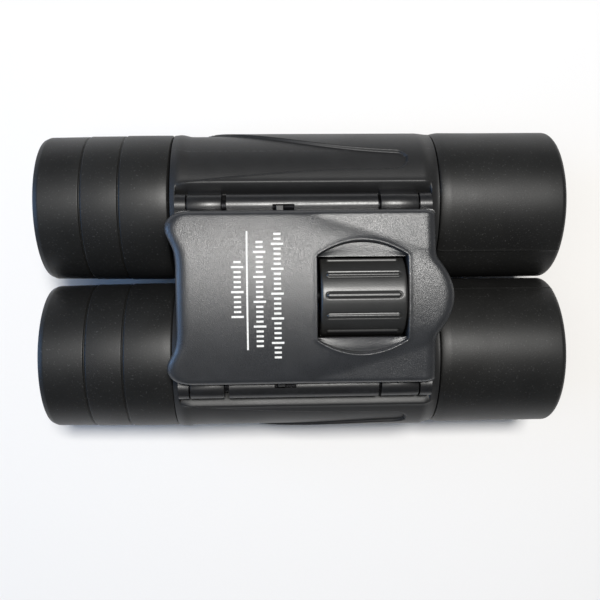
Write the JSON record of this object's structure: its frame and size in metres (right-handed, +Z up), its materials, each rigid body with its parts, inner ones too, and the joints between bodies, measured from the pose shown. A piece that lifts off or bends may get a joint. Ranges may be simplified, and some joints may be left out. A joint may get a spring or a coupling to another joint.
{
  "type": "compact binoculars",
  "caption": "Folding compact roof-prism binoculars: round barrels on a double-hinged bridge, centre focus wheel, rubber eyecups and a turning dioptre eyepiece.",
  "frame": {"origin": "on the table, under the middle of the folded pair lying on its barrels", "axes": "+X along the barrels to the objectives, +Y to the user's left barrel, +Z up through the bridge"},
  "size_m": [0.114, 0.0674, 0.044],
  "materials": {
    "cover_plastic": "fine-grained satin black moulded plastic",
    "shell_plastic": "soft-touch matte black over moulded plastic",
    "black_plastic": "plain black moulded plastic",
    "rubber": "smooth matte black rubber",
    "wheel_rubber": "ribbed satin black rubber",
    "anodised": "black anodised, matt",
    "steel": "turned bright steel",
    "brass": "turned brass",
    "coated_glass": "clear polished glass with a violet anti-reflection coating",
    "prism_glass": "clear polished glass"
  },
  "bodies": {
    "bridge": {"bridge_frame": "black_plastic", "bridge_cover": "cover_plastic", "bridge_screw_1": "steel", "bridge_screw_2": "steel", "bridge_screw_3": "steel", "bridge_screw_4": "steel", "rear_shaft_bush": "brass", "front_shaft_bush": "brass", "left_hinge_pin": "steel", "right_hinge_pin": "steel"},
    "focus_wheel": {"focus_wheel_grip": "wheel_rubber", "focus_wheel_core": "black_plastic", "focus_screw": "steel"},
    "carriage": {"focus_carriage": "black_plastic", "focus_nut": "brass"},
    "left_barrel": {"left_barrel_shell": "shell_plastic", "left_objective_tube": "anodised", "left_objective_sleeve": "rubber", "left_prism_cage": "black_plastic", "left_roof_prism": "prism_glass", "left_half_penta_prism": "prism_glass", "left_prism_clip": "steel", "left_field_stop": "anodised", "left_eyepiece_tube": "black_plastic", "left_eyepiece_cell": "anodised", "left_eye_lens": "coated_glass", "left_field_lens": "coated_glass", "left_eyepiece_cap": "black_plastic", "left_eyecup": "rubber"},
    "left_objective": {"left_objective_cell": "anodised", "left_objective_crown_lens": "coated_glass", "left_objective_flint_lens": "coated_glass", "left_objective_lock_ring": "anodised", "left_focus_arm": "steel", "left_focus_rod": "steel"},
    "right_barrel": {"right_barrel_shell": "shell_plastic", "right_objective_tube": "anodised", "right_objective_sleeve": "rubber", "right_prism_cage": "black_plastic", "right_roof_prism": "prism_glass", "right_half_penta_prism": "prism_glass", "right_prism_clip": "steel", "right_field_stop": "anodised", "right_eyepiece_tube": "black_plastic"},
    "right_objective": {"right_objective_cell": "anodised", "right_objective_crown_lens": "coated_glass", "right_objective_flint_lens": "coated_glass", "right_objective_lock_ring": "anodised", "right_focus_arm": "steel", "right_focus_rod": "steel"},
    "right_eyepiece": {"right_eyepiece_cap": "black_plastic", "right_eyecup": "rubber"},
    "right_eyepiece_lenses": {"right_eyepiece_cell": "anodised", "right_eye_lens": "coated_glass", "right_field_lens": "coated_glass"}
  },
  "joints": [
    {"name": "left_fold", "type": "hinge", "parent": "bridge", "child": "left_barrel", "pos_m": [0, 0.01581, 0.03371], "axis": [1, 0, 0], "range_deg": [0, 87.5]},
    {"name": "right_fold", "type": "hinge", "parent": "bridge", "child": "right_barrel", "pos_m": [0, -0.02238, 0.03285], "axis": [-1, 0, 0], "range_deg": [0, 107.4]},
    {"name": "focus_turn", "type": "hinge", "parent": "bridge", "child": "focus_wheel", "pos_m": [0.01, -0.00333, 0.03528], "axis": [1, 0, 0], "range_deg": [-48.1, 240.1]},
    {"name": "carriage_slide", "type": "slide", "parent": "bridge", "child": "carriage", "axis": [1, 0, 0], "range_m": [-0.0004, 0.002]},
    {"name": "left_focus_slide", "type": "slide", "parent": "left_barrel", "child": "left_objective", "axis": [1, 0, 0], "range_m": [-0.00041, 0.00201]},
    {"name": "right_focus_slide", "type": "slide", "parent": "right_barrel", "child": "right_objective", "axis": [1, 0, 0], "range_m": [-0.00041, 0.00201]},
    {"name": "dioptre_turn", "type": "hinge", "parent": "right_barrel", "child": "right_eyepiece", "pos_m": [-0.04, -0.01692, 0.01675], "axis": [1, 0, 0], "range_deg": [-40, 40]},
    {"name": "dioptre_slide", "type": "slide", "parent": "right_barrel", "child": "right_eyepiece_lenses", "axis": [1, 0, 0], "range_m": [-0.00041, 0.00041]}
  ],
  "couplings": [
    {"joint": "focus_turn", "follows": "carriage_slide", "rad_per_m": 2094.4},
    {"joint": "left_focus_slide", "follows": "carriage_slide", "ratio": 1},
    {"joint": "right_focus_slide", "follows": "carriage_slide", "ratio": 1},
    {"joint": "dioptre_slide", "follows": "dioptre_turn", "m_per_rad": 0.00057296}
  ]
}
